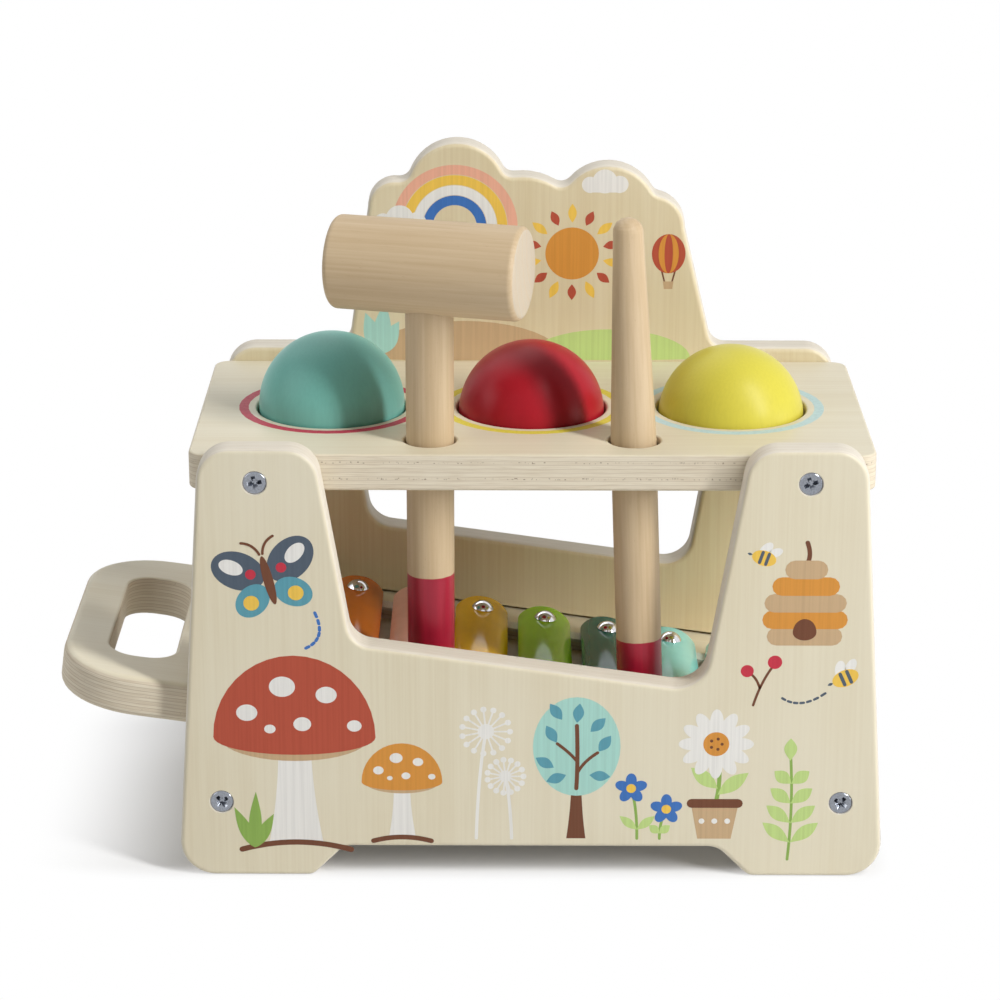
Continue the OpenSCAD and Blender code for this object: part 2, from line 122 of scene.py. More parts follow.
class Nodes:
    """A node tree, with short ways to add and link its nodes."""

    def __init__(self, tree):
        self.tree = tree

    def add(self, kind, **values):
        node = self.tree.nodes.new(kind)
        for key, value in values.items():
            setattr(node, key, value)
        return node

    def link(self, source, target):
        """Links a socket to a target, or gives the target a plain value."""
        if isinstance(source, bpy.types.NodeSocket):
            self.tree.links.new(source, target)
        else:
            target.default_value = source

    def joined(self, node, *sources):
        """A node with its first inputs linked."""
        for source, target in zip(sources, node.inputs):
            self.link(source, target)
        return node

    def math(self, operation, a, b=0.0):
        return self.joined(self.add("ShaderNodeMath", operation=operation), a, b).outputs[0]

    def vector_math(self, operation, a, b=(0, 0, 0)):
        node = self.joined(self.add("ShaderNodeVectorMath", operation=operation), a, b)
        return node.outputs["Value" if operation in ("DOT_PRODUCT", "LENGTH") else "Vector"]

    def ramp(self, source, low, high, a=0.0, b=1.0):
        """Smooth step of source from a at low to b at high."""
        node = self.add("ShaderNodeMapRange", interpolation_type="SMOOTHSTEP")
        self.link(source, node.inputs["Value"])
        node.inputs["From Min"].default_value = low
        node.inputs["From Max"].default_value = high
        node.inputs["To Min"].default_value = a
        node.inputs["To Max"].default_value = b
        return node.outputs["Result"]

    def mix_shaders(self, factor, a, b):
        return self.joined(self.add("ShaderNodeMixShader"), factor, a, b).outputs[0]

    def seen_ray(self):
        """A factor of 1 for rays that show the background: camera, glossy and transmission rays."""
        path = self.add("ShaderNodeLightPath").outputs
        mirrored = self.math("MAXIMUM", path["Is Glossy Ray"], path["Is Transmission Ray"])
        return self.math("MAXIMUM", path["Is Camera Ray"], mirrored)


class Shader(Nodes):
    """A material with a Principled shader, and the patterns from which its looks are made."""

    def __init__(self, name, specular=0.5, metallic=0.0):
        self.material = bpy.data.materials.new(name)
        self.material.use_nodes = True
        super().__init__(self.material.node_tree)
        self.surface = self.tree.nodes["Principled BSDF"]
        self.surface.inputs["Specular IOR Level"].default_value = specular
        self.surface.inputs["Metallic"].default_value = metallic
        coordinates = self.add("ShaderNodeTexCoord").outputs
        self.place, self.normal = coordinates["Object"], coordinates["Normal"]

    def along(self, *directions):
        """Distances along directions."""
        return [self.vector_math("DOT_PRODUCT", self.place, direction) for direction in directions]

    def facing(self, direction):
        """How squarely the surface looks along a direction, from 0 to 1."""
        return self.math("ABSOLUTE", self.vector_math("DOT_PRODUCT", self.normal, direction))

    def scaled(self, places, sizes):
        """A vector of three places, each counted in steps of its size."""
        steps = [self.math("DIVIDE", place, size) for place, size in zip(places, sizes)]
        return self.joined(self.add("ShaderNodeCombineXYZ"), *steps).outputs[0]

    def noise(self, place, scale=1.0, detail=2.0, roughness=0.5):
        node = self.add("ShaderNodeTexNoise")
        self.link(place, node.inputs["Vector"])
        node.inputs["Scale"].default_value = scale
        node.inputs["Detail"].default_value = detail
        node.inputs["Roughness"].default_value = roughness
        return node.outputs["Fac"]

    def grain(self, places, length, width):
        """Streaks of wood: noise drawn out along the first of three places."""
        return self.noise(self.scaled(places, (length, width, width)), detail=4, roughness=0.6)

    def wood_shade(self, places, streak, band):
        """The mean of fine streaks and broad bands, each given as a length and a width."""
        both = self.math("ADD", self.grain(places, *streak), self.grain(places, *band))
        return self.math("MULTIPLY", both, 0.5)

    def wobble(self, scale, reach):
        """A smooth random distance of up to half the reach to either side."""
        return self.math("MULTIPLY", self.math("SUBTRACT", self.noise(self.place, scale=scale), 0.5), reach)

    def mix(self, factor, a, b):
        node = self.add("ShaderNodeMix", data_type="RGBA")
        self.link(factor, node.inputs["Factor"])
        self.link(a, node.inputs["A"])
        self.link(b, node.inputs["B"])
        return node.outputs["Result"]

    def bump(self, height, distance, strength=0.5):
        node = self.add("ShaderNodeBump")
        self.link(height, node.inputs["Height"])
        node.inputs["Distance"].default_value = distance
        node.inputs["Strength"].default_value = strength
        self.link(node.outputs["Normal"], self.surface.inputs["Normal"])

    def color(self, source):
        self.link(source, self.surface.inputs["Base Color"])

    def rough(self, source):
        self.link(source, self.surface.inputs["Roughness"])


# Ranges of noise over which a wood's tone, another tone and a roughness change
WOOD_RANGE = (0.36, 0.66)
TONE_RANGE = (0.35, 0.7)
ROUGH_RANGE = (0.3, 0.7)

# Tones of birch: the face, its darker streaks and its paler clouds
BIRCH = (srgb(222, 213, 187), srgb(216, 205, 177), srgb(226, 219, 198))
BIRCH_WARM = (srgb(219, 206, 172), srgb(211, 195, 158), srgb(224, 213, 184))
# Painted shade: the deeper, warmer tone that the inside of the back panel takes under the plate
BIRCH_PAINTED_SHADE = (srgb(222, 206, 166), srgb(214, 194, 151), srgb(226, 212, 178))
BIRCH_FLECK = srgb(186, 164, 128)

# Tones of cut edges: long grain and end grain
CUT = (srgb(226, 219, 205), srgb(182, 160, 126))
CUT_WARM = (srgb(223, 213, 192), srgb(172, 146, 110))
PLY_GLUE = srgb(146, 118, 84)
PLY_VOID = srgb(104, 74, 48)

# Sizes in plywood: streaks as length and width, fade of the painted shade's deeper tone, height of its
# grain
STREAK = (55*MM, 0.9*MM)
BAND = (260*MM, 10*MM)
FLECK = (4*MM, 0.3*MM)
PAINTED_SHADE_FADE = 6*MM
PLY_RELIEF = 0.05*MM

# Sizes in its cut edges: waves of the plies, lines of fibres, and voids, which lie in every fourth ply
PLY_WAVE = 0.35*MM
FIBRE_LINE = (8*MM, 8*MM, 0.22*MM)
VOID_SPOT = 1.2*MM
VOID_EVERY = 4.0
VOID_DEPTH = -3.0

# Roughness of cut edges, and how much smoother the face is
CUT_ROUGH = (0.62, 0.74)
FACE_SHEEN = 0.3


def plywood(name, along, across, through, low, thickness, plies, face_tone=BIRCH, cut_tone=CUT,
            contrast=0.2, glue=0.3, voids=0.7, painted_shade_top=None):
    """
    Birch plywood: a pale face veneer with faint streaks, and on cut edges its plies, glue lines and voids.
    Where a top height is given, painted shade darkens the low face to a deeper tone under that height.
    """
    s = Shader(name)
    places = u, v, w = s.along(along, across, through)
    # Painted shade: under the given top height the low face fades to a deeper tone, where the plate shades
    # the inside
    if painted_shade_top is not None:
        under = s.ramp(s.along(Z)[0], painted_shade_top - PAINTED_SHADE_FADE, painted_shade_top, 1, 0)
        painted_shade = s.math("MULTIPLY", under, s.ramp(w, low, low + thickness, 1, 0))
        face_tone = [s.mix(painted_shade, outer, inner) for outer, inner in zip(face_tone, BIRCH_PAINTED_SHADE)]
    veneer, streak, cloud = face_tone
    long_grain, end_grain = cut_tone
    shade = s.wood_shade(places, STREAK, BAND)
    face = s.mix(s.ramp(shade, *WOOD_RANGE), veneer, streak)
    face = s.mix(s.ramp(s.noise(s.place, scale=14), 0.35, 0.75, 0, 0.5), face, cloud)
    face = s.mix(s.ramp(s.grain(places, *FLECK), 0.66, 0.78, 0, 0.20), face, BIRCH_FLECK)

    # Plies across the thickness, slightly wavy, alternately long grain and end grain
    wavy = s.math("ADD", w, s.wobble(30, PLY_WAVE))
    depth = s.math("DIVIDE", s.math("SUBTRACT", wavy, low), thickness/plies)
    turn = s.math("PINGPONG", depth, 1.0)
    lines = s.noise(s.scaled(places, FIBRE_LINE), detail=3)
    edge = s.mix(s.ramp(turn, 0.35, 0.65, 0, contrast), long_grain, end_grain)
    edge = s.mix(s.ramp(lines, 0.42, 0.72, 0, 0.12 + 1.6*contrast), edge, end_grain)
    joints = s.ramp(s.math("ABSOLUTE", s.math("SUBTRACT", turn, 0.5)), 0.03, 0.11, glue, 0)
    edge = s.mix(joints, edge, PLY_GLUE)
    in_ply = s.scaled((u, v, s.math("FLOOR", depth)), (VOID_SPOT, VOID_SPOT, 1))
    spots = s.noise(in_ply, detail=3, roughness=0.75)
    row = s.math("SUBTRACT", s.math("PINGPONG", s.math("ADD", depth, 1.0), VOID_EVERY), VOID_EVERY/2)
    in_row = s.ramp(s.math("ABSOLUTE", row), 1.70, 1.85)
    holes = s.math("MULTIPLY", s.ramp(spots, voids, voids + 0.06), in_row)
    edge = s.mix(s.math("MULTIPLY", holes, 0.7), edge, PLY_VOID)

    # The face veneer shows where the surface looks along the thickness
    on_face = s.ramp(s.facing(through), 0.60, 0.80)
    s.color(s.mix(on_face, edge, face))
    sheen = s.math("MULTIPLY", on_face, FACE_SHEEN)
    s.rough(s.math("SUBTRACT", s.ramp(shade, *ROUGH_RANGE, *CUT_ROUGH), sheen))
    s.bump(s.math("ADD", shade, s.math("MULTIPLY", holes, VOID_DEPTH)), PLY_RELIEF, 0.4)
    return s.material


# Tones of beech, of its darker streaks, rays and end grain, and of the dipped paint
BEECH = srgb(205, 182, 148)
BEECH_DARK = srgb(193, 168, 132)
BEECH_RAY = srgb(162, 132, 98)
BEECH_END = srgb(199, 188, 171)
CRIMSON = srgb(172, 26, 54)
CRIMSON_DARK = srgb(154, 20, 46)

# Sizes in turned beech: streaks as length and width, growth rings and the place of their heart
BEECH_STREAK = (40*MM, 1.2*MM)
BEECH_BAND = (150*MM, 6*MM)
BEECH_RAY_SIZE = (2.2*MM, 0.28*MM)
BEECH_RELIEF = 0.04*MM
GROWTH_RING = 1.1*MM
HEART_SIDE, HEART_ACROSS = 22*MM, -9*MM

# Waviness and softness of the edge of dipped paint
DIP_WAVE = 0.5*MM
DIP_EDGE = 0.15*MM


def turned_beech(name, axis, middle=None, dip=None):
    """
    Turned beech: short rays along its axis, growth rings on its ends where its middle is given, and paint
    below the dip's height.
    """
    s = Shader(name, specular=0.45)
    side = axis.orthogonal().normalized()
    across = axis.cross(side)
    places = u, v, w = s.along(axis, side, across)
    shade = s.wood_shade(places, BEECH_STREAK, BEECH_BAND)
    wood = s.mix(s.ramp(shade, *WOOD_RANGE), BEECH, BEECH_DARK)
    rays = s.ramp(s.grain(places, *BEECH_RAY_SIZE), 0.62, 0.76, 0, 0.40)
    wood = s.mix(rays, wood, BEECH_RAY)
    if middle is not None:
        heart = middle + side*HEART_SIDE + across*HEART_ACROSS
        offsets = [s.math("SUBTRACT", v, heart.dot(side)), s.math("SUBTRACT", w, heart.dot(across))]
        radius = s.math("SQRT", s.math("ADD", *(s.math("POWER", offset, 2.0) for offset in offsets)))
        rings = s.noise(s.scaled((radius, 0.0, 0.0), (GROWTH_RING, 1, 1)))
        end = s.mix(s.ramp(rings, 0.35, 0.70, 0, 0.55), BEECH_END, BEECH)
        pores = s.ramp(s.noise(s.place, scale=2600), 0.58, 0.72, 0, 0.22)
        end = s.mix(pores, end, BEECH_RAY)
        wood = s.mix(s.ramp(s.facing(axis), 0.75, 0.92), wood, end)
    s.bump(s.math("SUBTRACT", shade, rays), BEECH_RELIEF)
    if dip is None:
        s.color(wood)
        s.rough(s.ramp(shade, *ROUGH_RANGE, 0.46, 0.58))
        return s.material
    wavy = s.math("ADD", u, s.wobble(220, DIP_WAVE))
    painted = s.ramp(wavy, dip - DIP_EDGE, dip + DIP_EDGE, 1, 0)
    paint = s.mix(s.ramp(shade, 0.35, 0.65), CRIMSON, CRIMSON_DARK)
    s.color(s.mix(painted, wood, paint))
    s.rough(s.ramp(painted, 0, 1, 0.52, 0.34))
    return s.material


# Streaks of wood below the balls' paint, and height of the paint's grain
PAINT_STREAK = (30*MM, 0.8*MM)
PAINT_RELIEF = 0.008*MM


def painted_wood(name, color, rough=0.36):
    """Satin paint on a turned ball, with a trace of the wood below it."""
    s = Shader(name, specular=0.2)
    streaks = s.grain(s.along(Z, X, Y), *PAINT_STREAK)
    peel = s.noise(s.place, scale=900)
    s.color(s.mix(s.ramp(streaks, *TONE_RANGE), color, shaded(color, 0.96)))
    s.rough(s.ramp(s.noise(s.place, scale=120, detail=3), *ROUGH_RANGE, rough - 0.02, rough + 0.03))
    s.bump(s.math("ADD", streaks, s.math("MULTIPLY", peel, 0.6)), PAINT_RELIEF, 0.25)
    return s.material


# Shape of the keys' reflections: arch beyond that of the CAD keys, fall to the rear, height of the ripples
KEY_ARCH = 1.5*MM
KEY_FALL = 0.045
KEY_RIPPLE = 0.0025*MM


def enamel(name, color, middle, half):
    """Glossy enamel on a key that lies across the tray: its middle along the tray and its half width."""
    s = Shader(name, specular=0.36)
    cloud = s.noise(s.place, scale=160, detail=3)
    s.color(s.mix(s.ramp(cloud, *ROUGH_RANGE), color, shaded(color, 0.94)))
    s.rough(s.ramp(cloud, *ROUGH_RANGE, 0.06, 0.11))
    along, rearward = s.along(tray_along, Y)
    beside = s.math("DIVIDE", s.math("SUBTRACT", along, middle), half)
    arched = s.math("MULTIPLY", s.math("MULTIPLY", beside, beside), -KEY_ARCH)
    falling = s.math("MULTIPLY", rearward, -KEY_FALL)
    ripple = s.math("MULTIPLY", s.noise(s.place, scale=700), KEY_RIPPLE)
    s.bump(s.math("ADD", s.math("ADD", arched, falling), ripple), 1.0, 1.0)
    return s.material


def metal(name, color, rough, mark=0.4*MM):
    """Plated metal with fine marks."""
    s = Shader(name, metallic=1.0)
    marks = s.noise(s.place, scale=1/mark, detail=3)
    s.color(s.mix(s.ramp(marks, *TONE_RANGE), color, shaded(color, 0.84)))
    s.rough(s.ramp(marks, *ROUGH_RANGE, rough*0.8, rough*1.35))
    return s.material


FIBRE_RELIEF = 0.15*MM


def fibre(name, color, dark, size, rough=0.9):
    """Matt felt or rubber with a fine irregular surface."""
    s = Shader(name, specular=0.2)
    fuzz = s.noise(s.place, scale=1/size, detail=4, roughness=0.7)
    s.color(s.mix(s.ramp(fuzz, *TONE_RANGE), color, dark))
    s.rough(s.ramp(fuzz, *ROUGH_RANGE, rough - 0.1, rough))
    s.bump(fuzz, FIBRE_RELIEF)
    return s.material


INK_RELIEF = 0.03*MM


def ink(name, color):
    """Printed ink, through which the veneer's streaks still show a little."""
    s = Shader(name, specular=0.3)
    streaks = s.grain(s.along(Z, X, Y), *STREAK)
    s.color(s.mix(s.ramp(streaks, *TONE_RANGE), color, shaded(color, 0.90)))
    s.rough(s.ramp(streaks, *ROUGH_RANGE, 0.44, 0.56))
    s.bump(streaks, INK_RELIEF, 0.4)
    return s.material


# Making and dressing of pieces

def new_object(name, data):
    """An object of the scene with a mesh, a lamp or a camera as its data."""
    placed = bpy.data.objects.new(name, data)
    scene.collection.objects.link(placed)
    return placed


def finished_mesh(name, bm):
    """A mesh made from a bmesh, which is freed."""
    mesh = bpy.data.meshes.new(name)
    bm.to_mesh(mesh)
    bm.free()
    return mesh


def new_piece(name, bm, body):
    """A piece made from a bmesh, riding on a body."""
    piece = new_object(name, finished_mesh(name, bm))
    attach(piece, body)
    return piece


def wall(bm, upper, lower):
    """Faces between two loops of as many vertices."""
    for i in range(len(upper)):
        bm.faces.new((upper[i - 1], lower[i - 1], lower[i], upper[i]))


def smooth(piece, sharp_from):
    """Smooth shading that keeps large flat faces flat."""
    piece.data.set_sharp_from_angle(angle=math.radians(sharp_from))
    for polygon in piece.data.polygons:
        polygon.use_smooth = True
    weighted = piece.modifiers.new("weighted_normals", "WEIGHTED_NORMAL")
    weighted.keep_sharp = True
    weighted.weight = 100


def dress(node, material):
    """Gives a CAD node or a piece a material."""
    mesh = nodes[node].data if isinstance(node, str) else node.data
    mesh.materials.clear()
    mesh.materials.append(material)
    for polygon in mesh.polygons:
        polygon.material_index = 0


# Pieces of plywood: copies of the CAD boards with rounded edges

def near(points, reach):
    """Finds edges that lie within reach of one of the points."""
    return lambda e: any(all((v.co - p).length < reach for v in e.verts) for p in points)


def between(direction, low, high):
    """Finds edges that lie between two depths along a direction."""
    return lambda e: all(low < v.co.dot(direction) < high for v in e.verts)


def over_or_under(node):
    """Finds edges that lie over or under the box of a CAD node."""
    low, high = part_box(node)
    return lambda e: all(low.x < v.co.x < high.x and low.y < v.co.y < high.y for v in e.verts)


def facing_in(middle, through, reach):
    """Finds edges of a hole round a middle: their side faces look towards it."""
    def found(e):
        to_edge = (e.verts[0].co + e.verts[1].co)/2 - middle
        side = min(e.link_faces, key=lambda f: abs(f.normal.dot(through)))
        return to_edge.length < reach and side.normal.dot(to_edge) < 0
    return found


# Boards: distance at which vertices are one, angles of flat and of sharp edges, nearness to a face, and
# the angles in degrees from which shading stays sharp
WELD = 0.002*MM
FLAT_ANGLE = math.radians(0.3)
SHARP_ANGLE = math.radians(35)
ON_FACE = 0.01*MM
BOARD_CREASE = 32
SCREW_CREASE = 25


def rounded_board(node, body, through, edge, material, keep_out=(), fine=None):
    """
    Stands a copy of a CAD board, with the edges of its two faces rounded, in place of the board.
    Edges that keep_out finds stay sharp, and fine gives another rounding for edges it finds.
    """
    bm = bmesh.new()
    bm.from_mesh(nodes[node].data)
    bmesh.ops.remove_doubles(bm, verts=bm.verts, dist=WELD)
    bmesh.ops.dissolve_limit(bm, angle_limit=FLAT_ANGLE, verts=bm.verts, edges=bm.edges)
    depths = [v.co.dot(through) for v in bm.verts]
    faces = (min(depths), max(depths))

    def on_face(vert):
        return any(abs(vert.co.dot(through) - face) < ON_FACE for face in faces)

    sharp = [
        e for e in bm.edges
        if len(e.link_faces) == 2
        and e.calc_face_angle(0) > SHARP_ANGLE
        and on_face(e.verts[0]) and on_face(e.verts[1])
        and not any(found(e) for found in keep_out)
    ]
    fine_edges = [e for e in sharp if fine is not None and fine[0](e)]
    coarse_edges = [e for e in sharp if e not in fine_edges]
    for chosen, offset in ((coarse_edges, edge), (fine_edges, fine and fine[1])):
        if chosen:
            bmesh.ops.bevel(bm, geom=chosen, offset=offset, segments=EDGE_SEGMENTS, profile=0.5,
                            affect="EDGES", clamp_overlap=False)
    piece = new_piece(f"{node}_wood", bm, body)
    smooth(piece, BOARD_CREASE)
    dress(piece, material)
    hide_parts(node)
    return piece


# Vertices of one screw's head lie within this distance
SCREW_SPAN = 10*MM


def screw_points(node):
    """Middles of the screws' heads, on their outer faces."""
    low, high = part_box(node)
    outer = low.y if node == "front_screws" else high.y
    groups = []
    for vert in nodes[node].data.vertices:
        if abs(vert.co.y - outer) > ON_FACE:
            continue
        group = next((g for g in groups if (g[0] - vert.co).length < SCREW_SPAN), None)
        if group is None:
            groups.append([vert.co.copy()])
        else:
            group.append(vert.co.copy())
    return [sum(g, Vector())/len(g) for g in groups]


# Edges that stay sharp round the screws and in the tray's grooves, and those of the handle's hole
SCREW_CLEAR = 6*MM
GROOVE_CLEAR = 1*MM
HANDLE_HOLE = Vector((-104, 0, 55))*MM
HANDLE_HOLE_REACH = 45*MM
screws = {node: screw_points(node) for node in ("front_screws", "back_screws")}
groove_sides = between(tray_normal, tray_low - GROOVE_CLEAR, tray_low + tray_t + GROOVE_CLEAR)

# Boards of plywood
PANEL_PLIES = {"plies": 7, "contrast": 0.05, "glue": 0.10, "voids": 0.70}
PLATE_PLIES = {"plies": 9, "contrast": 0.10, "glue": 0.30, "voids": 0.57, "cut_tone": CUT_WARM}
TRAY_PLIES = {"plies": 12, "contrast": 0.15, "glue": 0.48, "voids": 0.64, "cut_tone": CUT_WARM}
front_ply = plywood("front_plywood", Z, X, Y, front_low.y, panel_t, **PANEL_PLIES)
back_ply = plywood("back_plywood", Z, X, Y, back_low.y, panel_t, face_tone=BIRCH_WARM,
                   painted_shade_top=plate_low.z, **PANEL_PLIES)
plate_ply = plywood("plate_plywood", X, Y, Z, plate_low.z, plate_t, **PLATE_PLIES)
tray_ply = plywood("tray_plywood", tray_along, Y, tray_normal, tray_low, tray_t, **TRAY_PLIES)

front_panel = rounded_board("front_panel", "bench", Y, PANEL_EDGE, front_ply,
                            [near(screws["front_screws"], SCREW_CLEAR), groove_sides])
rounded_board("back_panel", "bench", Y, PANEL_EDGE, back_ply,
              [near(screws["back_screws"], SCREW_CLEAR), groove_sides])
rounded_board("top_plate", "bench", Z, PLATE_EDGE, plate_ply)
rounded_board("tray_board", "tray", tray_normal, HANDLE_EDGE, tray_ply,
              [over_or_under("rear_key_rail"), over_or_under("front_key_rail")],
              (facing_in(HANDLE_HOLE, tray_normal, HANDLE_HOLE_REACH), HANDLE_HOLE_EDGE))

# The printed face of the front panel lies back by the room of the ink
for vert in front_panel.data.vertices:
    vert.co.y = max(vert.co.y, front_low.y + INK_ROOM)


# Screws with a rounded rim and a tapered cross recess

# Millimetres: radii and heights of the outline; half length and half width of the bars of the recess at the
# top and at their depth
SCREW_PROFILE = [
    (2.9, 0), (3.3, -0.06), (3.54, -0.24), (3.62, -0.5), (1.75, -2.8), (1.75, -25.5), (0.4, -28),
]
RECESS_ARM = ((2.25, 0.62), (0.85, 0.34), 1.5)
RECESS_TICK = ((1.75, 0.20), (0.9, 0.10), 0.5)
RECESS_BARS = {0: RECESS_ARM, 90: RECESS_ARM, 45: RECESS_TICK, 135: RECESS_TICK}
RECESS_OVERRUN = 0.2
SCREW_TURNS = (12, 38, 21, 55)
SCREW_STEPS = 48
ZINC = srgb(150, 154, 162)


def turns(count):
    """Angles of equal steps round a circle."""
    return [2*math.pi*i/count for i in range(count)]


def tapered_bar(bm, top, bottom, depth, turn):
    """A bar that narrows downwards: half length and half width at the top and at the depth."""
    spin = Matrix.Rotation(math.radians(turn), 4, "Z")
    grow = 1 + RECESS_OVERRUN/depth*(1 - bottom[1]/top[1])

    def loop(length, width, height):
        corners = [(-length, -width), (length, -width), (length, width), (-length, width)]
        return [bm.verts.new(spin @ Vector((x, y, height))*MM) for x, y in corners]

    upper = loop(top[0]*grow, top[1]*grow, RECESS_OVERRUN)
    lower = loop(*bottom, -depth)
    wall(bm, upper, lower)
    bm.faces.new(upper)
    bm.faces.new(lower[::-1])


def turned_screw():
    """Mesh of one screw along -Z, with its head's face at zero and its recess cut."""
    bm = bmesh.new()
    rings = []
    for radius, height in SCREW_PROFILE:
        spots = [(radius*math.cos(a), radius*math.sin(a), height) for a in turns(SCREW_STEPS)]
        rings.append([bm.verts.new(Vector(spot)*MM) for spot in spots])
    for upper, lower in zip(rings, rings[1:]):
        wall(bm, upper, lower)
    bm.faces.new(rings[0])
    bm.faces.new(rings[-1][::-1])
    whole = new_object("screw_body", finished_mesh("screw_body", bm))
    for turn, bar in RECESS_BARS.items():
        bm = bmesh.new()
        tapered_bar(bm, *bar, turn)
        cutter = new_object("recess", finished_mesh("recess", bm))
        cut = whole.modifiers.new("cut", "BOOLEAN")
        cut.operation = "DIFFERENCE"
        cut.solver = "EXACT"
        cut.object = cutter
        evaluated = whole.evaluated_get(bpy.context.evaluated_depsgraph_get())
        shaped = bpy.data.meshes.new_from_object(evaluated)
        whole.modifiers.clear()
        whole.data = shaped
        bpy.data.objects.remove(cutter)
    mesh = whole.data
    bpy.data.objects.remove(whole)
    return mesh


zinc = metal("zinc_plate", ZINC, rough=0.16)
one_screw = turned_screw()
for node, points in screws.items():
    out = Y if node == "back_screws" else -Y
    bm = bmesh.new()
    for point, turn in zip(points, SCREW_TURNS):
        start = len(bm.verts)
        bm.from_mesh(one_screw)
        bm.verts.ensure_lookup_table()
        place = Matrix.Translation(point) @ out.to_track_quat("Z", "X").to_matrix().to_4x4()
        spin = Matrix.Rotation(math.radians(turn), 4, "Z")
        bmesh.ops.transform(bm, matrix=place @ spin, verts=bm.verts[start:])
    piece = new_piece(f"{node}_zinc", bm, "bench")
    smooth(piece, SCREW_CREASE)
    dress(piece, zinc)
    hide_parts(node)


# Pieces that keep their CAD shape

CHROME = srgb(226, 226, 230)
RUBBER = (srgb(44, 42, 40), srgb(30, 29, 28))
FELT = (srgb(226, 222, 212), srgb(204, 199, 188))
rail_wood = plywood("rail_birch", Y, X, Z, rail_low.z, rail_high.z - rail_low.z, plies=1)
key_rail_wood = plywood("key_rail_birch", X, Y, tray_normal, tray_low + tray_t, KEY_RAIL_H, plies=1)
rubber = fibre("ring_rubber", *RUBBER, size=0.6*MM, rough=0.7)
felt = fibre("key_felt", *FELT, size=0.35*MM)
chrome = metal("pin_chrome", CHROME, rough=0.06)
SHARED = {
    rail_wood: ("left_cross_rail", "right_cross_rail"),
    key_rail_wood: ("rear_key_rail", "front_key_rail"),
    rubber: ("left_ring", "middle_ring", "right_ring"),
    felt: ("rear_felt", "front_felt"),
    chrome: ("rear_key_pins", "front_key_pins"),
}
for material, names in SHARED.items():
    for node in names:
        dress(node, material)

BALL_COLORS = {"teal": srgb(128, 198, 187), "red": srgb(168, 26, 40), "yellow": srgb(214, 203, 78)}
for name, color in BALL_COLORS.items():
    dress(f"ball_{name}", painted_wood(f"{name}_paint", color))

head_axis = Vector((math.cos(HEAD_TURN), -math.sin(HEAD_TURN), 0))
head_middle = sum(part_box("mallet_head"), Vector())/2
dress("mallet_head", turned_beech("mallet_head_beech", head_axis, middle=head_middle))
dress("mallet_handle", turned_beech("mallet_handle_beech", Z, dip=mallet_foot + MALLET_DIP))
dress("beater_stick", turned_beech("stick_beech", stick_axis, dip=stick_foot + STICK_DIP))

KEY_COLORS = [
    srgb(196, 36, 58), srgb(208, 108, 12), srgb(238, 176, 156), srgb(244, 190, 6),
    srgb(152, 212, 6), srgb(12, 104, 92), srgb(156, 238, 230), srgb(184, 236, 220),
]
for number, color in enumerate(KEY_COLORS, 1):
    places = [v.co.dot(tray_along) for v in nodes[f"key_{number}"].data.vertices]
    middle, half = (min(places) + max(places))/2, (max(places) - min(places))/2
    dress(f"key_{number}", enamel(f"key_{number}_enamel", color, middle, half))


# Printed ink: outlines in millimetres, and the motifs made of them, where p is the print

INKS = {
    "ochre": srgb(214, 146, 62),
    "rust": srgb(180, 80, 58),
    "brown": srgb(112, 68, 46),
    "mint": srgb(168, 214, 203),
    "turquoise": srgb(92, 156, 172),
    "white": srgb(234, 232, 227),
    "blue": srgb(62, 114, 186),
    "slate": srgb(80, 92, 106),
    "crimson": srgb(196, 52, 70),
    "yellow": srgb(238, 196, 84),
    "lime": srgb(190, 214, 134),
    "moss": srgb(140, 174, 84),
    "tan": srgb(198, 168, 130),
    "salmon": srgb(234, 174, 148),
    "ring_red": srgb(190, 62, 82),
    "ring_yellow": srgb(222, 206, 74),
    "ring_blue": srgb(190, 216, 218),
}
ink_materials = {name: ink(f"ink_{name}", color) for name, color in INKS.items()}

# Points of round outlines and of curves, and turns of a pen line's round end
ROUND_STEPS = 40
CURVE_STEPS = 14
CURVE = [i/CURVE_STEPS for i in range(CURVE_STEPS + 1)]
CAP_TURNS = (60, 30, 0, -30, -60)


def polar(radius, degrees):
    """A point at a radius, its angle in degrees from the right."""
    return (radius*math.cos(math.radians(degrees)), radius*math.sin(math.radians(degrees)))


def ellipse(x, z, rx, rz=None, tilt=0):
    """Outline of an ellipse, its first radius tilted from the horizontal, in degrees."""
    rz = rx if rz is None else rz
    c, s = polar(1, tilt)
    spots = [(rx*math.cos(a), rz*math.sin(a)) for a in turns(ROUND_STEPS)]
    return [(x + u*c - v*s, z + u*s + v*c) for u, v in spots]


def dome(x, z, rx, rise, sag):
    """Outline of a dome: half an ellipse above its rim and a flatter half below it."""
    spots = [(math.cos(a), math.sin(a)) for a in turns(ROUND_STEPS)]
    return [(x + rx*c, z + (rise if s > 0 else sag)*s) for c, s in spots]


def leaf(x, z, length, width, aim, full=1.0):
    """Outline of a leaf that grows from a point, aim in degrees from straight up to the right."""
    c, s = polar(1, aim)

    def rim(t, side):
        half = side*width/2*math.sin(math.pi*t**full)
        return (x + s*length*t + c*half, z + c*length*t - s*half)

    return [rim(t, 1) for t in CURVE[:-1]] + [rim(1 - t, -1) for t in CURVE[:-1]]


def column(foot, neck, height):
    """Outline of a stem that narrows from its foot to its neck, given as half widths."""
    right = [(neck + (foot - neck)*(1 - t)**2, height*t) for t in CURVE]
    return right + [(-x, z) for x, z in reversed(right)]


def bow(a, b, c):
    """Points of a curve from a to c, drawn towards b."""
    return [tuple((1 - t)**2*p + 2*t*(1 - t)*q + t*t*r for p, q, r in zip(a, b, c)) for t in CURVE]


def arch(x, z, radius, start=180, end=0):
    """Points of an arc about a middle, angles in degrees."""
    spots = [polar(radius, start + (end - start)*i/ROUND_STEPS) for i in range(ROUND_STEPS + 1)]
    return [(x + u, z + v) for u, v in spots]


